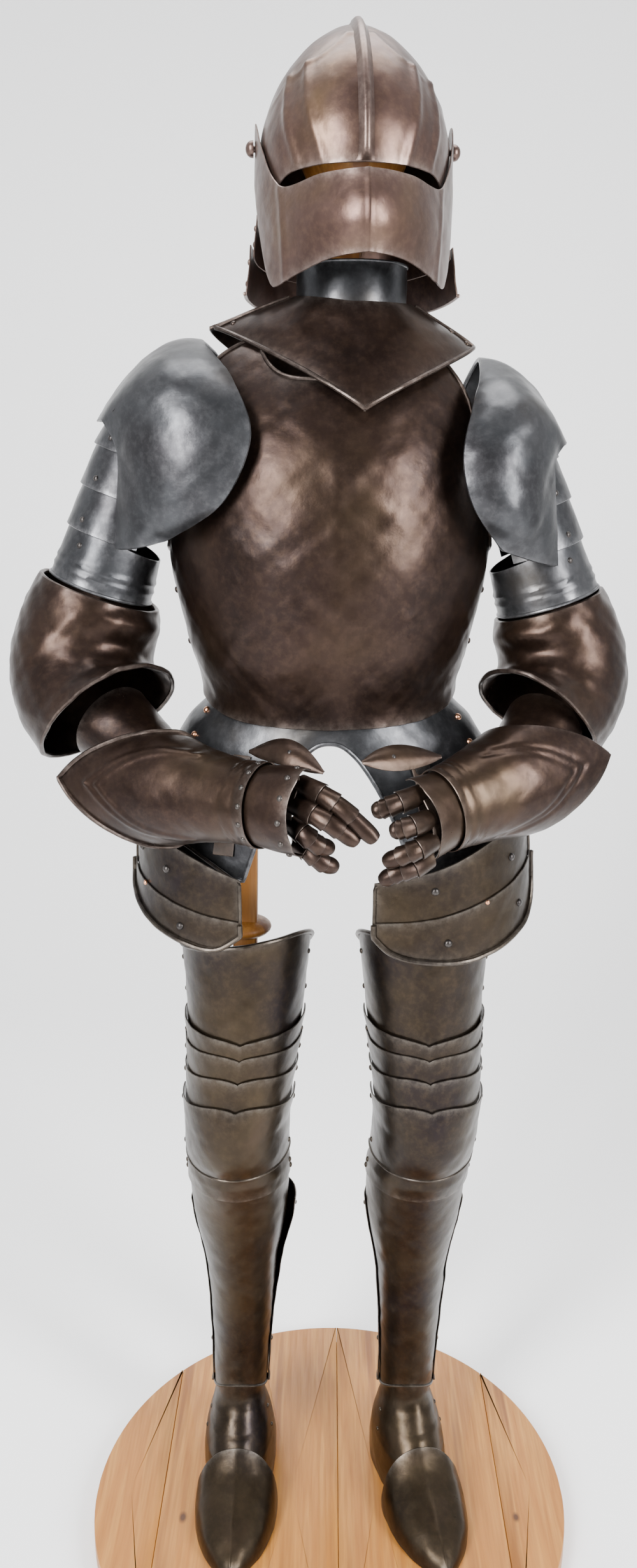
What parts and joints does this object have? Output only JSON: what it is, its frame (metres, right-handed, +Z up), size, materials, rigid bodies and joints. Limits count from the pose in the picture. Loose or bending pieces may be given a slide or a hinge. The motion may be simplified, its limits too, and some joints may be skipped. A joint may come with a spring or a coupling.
{
  "type": "suit of plate armour on a wooden stand",
  "caption": "Full suit of patinated steel plate armour, standing hollow on its wooden frame and round plinth, hands together in front, with a lifting visor.",
  "frame": {"origin": "centre of the underside of the round plinth", "axes": "+Z up, the suit faces -Y, +X is the wearer's left"},
  "size_m": [0.7309, 0.65, 1.866],
  "materials": {
    "russet_steel": "russet-brown patinated steel, satin, with amber and purplish heat colours",
    "brown_steel": "olive-brown patinated steel, satin",
    "blued_steel": "blue-grey patinated steel, satin",
    "leather": "dark brown strap leather, worn",
    "copper": "dull copper rivets",
    "pine": "honey-stained, varnished pine"
  },
  "bodies": {
    "suit": {"stand_plinth": "pine", "stand_frame": "pine", "helmet_skull": "russet_steel", "helmet_tail_upper": "russet_steel", "helmet_tail_lower": "russet_steel", "gorget_front": "russet_steel", "gorget_back": "russet_steel", "breastplate": "russet_steel", "backplate": "russet_steel", "couter_right": "russet_steel", "couter_left": "russet_steel", "vambrace_right": "russet_steel", "vambrace_left": "russet_steel", "gauntlet_cuff_right": "russet_steel", "gauntlet_cuff_left": "russet_steel", "gauntlet_hand_right": "russet_steel", "gauntlet_hand_left": "russet_steel", "gauntlet_fingers_right": "russet_steel", "gauntlet_fingers_left": "russet_steel", "gorget_collar": "blued_steel", "fauld": "blued_steel", "culet": "blued_steel", "pauldron_right": "blued_steel", "pauldron_left": "blued_steel", "arm_lame_1_right": "blued_steel", "arm_lame_1_left": "blued_steel", "arm_lame_2_right": "blued_steel", "arm_lame_2_left": "blued_steel", "arm_lame_3_right": "blued_steel", "arm_lame_3_left": "blued_steel", "rerebrace_right": "blued_steel", "rerebrace_left": "blued_steel", "tasset_upper_right": "brown_steel", "tasset_upper_left": "brown_steel", "tasset_lower_right": "brown_steel", "tasset_lower_left": "brown_steel", "cuisse_right": "brown_steel", "cuisse_left": "brown_steel", "knee_lame_1_right": "brown_steel", "knee_lame_1_left": "brown_steel", "knee_lame_2_right": "brown_steel", "knee_lame_2_left": "brown_steel", "knee_lame_3_right": "brown_steel", "knee_lame_3_left": "brown_steel", "poleyn_right": "brown_steel", "poleyn_left": "brown_steel", "greave_lame_right": "brown_steel", "greave_lame_left": "brown_steel", "greave_front_right": "brown_steel", "greave_front_left": "brown_steel", "greave_back_right": "brown_steel", "greave_back_left": "brown_steel", "sabaton_instep_right": "brown_steel", "sabaton_instep_left": "brown_steel", "sabaton_toe_right": "brown_steel", "sabaton_toe_left": "brown_steel", "tasset_strap_right": "leather", "tasset_strap_left": "leather"},
    "visor": {"helmet_visor": "russet_steel"}
  },
  "joints": [
    {"name": "visor_lift", "type": "hinge", "parent": "suit", "child": "visor", "pos_m": [0.026, 0.035, 1.743], "axis": [-0.9969, -0.0785, 0], "range_deg": [0, 75]}
  ]
}
